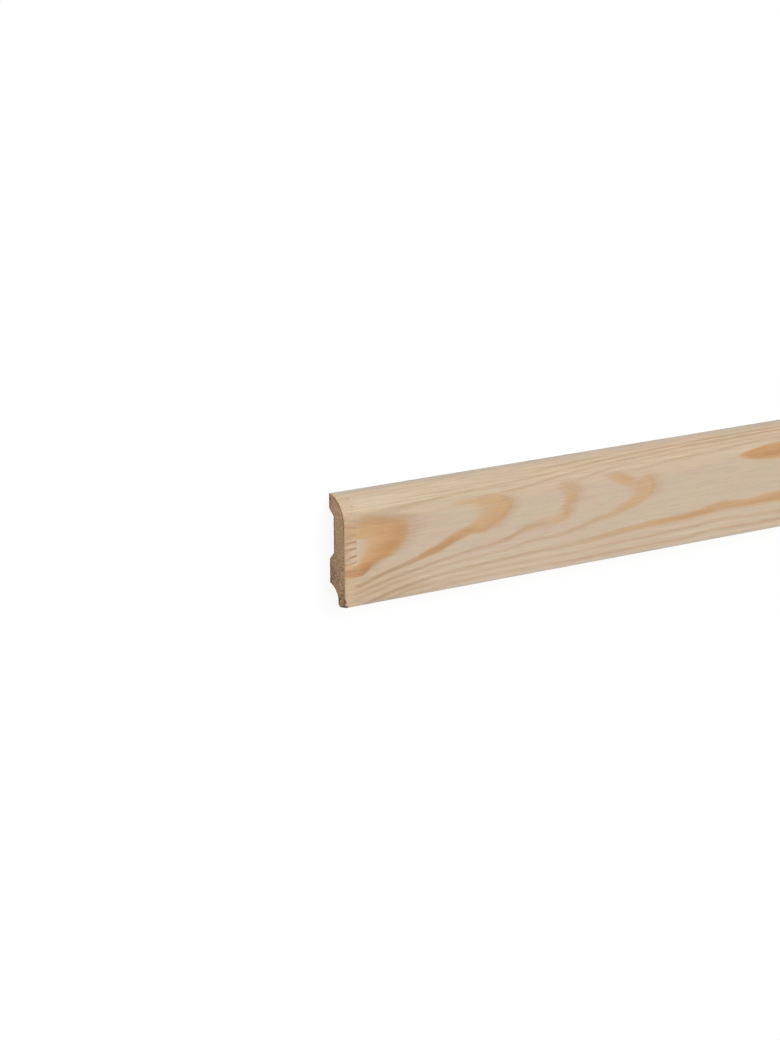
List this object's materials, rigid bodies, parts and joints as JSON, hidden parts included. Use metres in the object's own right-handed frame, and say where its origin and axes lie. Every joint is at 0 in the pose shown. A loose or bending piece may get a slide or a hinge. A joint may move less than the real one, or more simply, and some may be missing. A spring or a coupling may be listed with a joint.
{
  "type": "skirting board length",
  "caption": "Length of pine skirting board with a rounded top edge, a hollowed back and a coved undercut behind the toe, sawn square at its ends.",
  "frame": {"origin": "middle of the plane of the back lands, which the board lies on", "axes": "+X along the length, +Y across the face towards the rounded top edge, +Z out of the show face; when fitted, -Z faces the wall and -Y the floor"},
  "size_m": [2.4, 0.056, 0.012],
  "materials": {
    "pine": "planed, unfinished"
  },
  "bodies": {
    "root": {"skirting_board": "pine"}
  },
  "joints": []
}
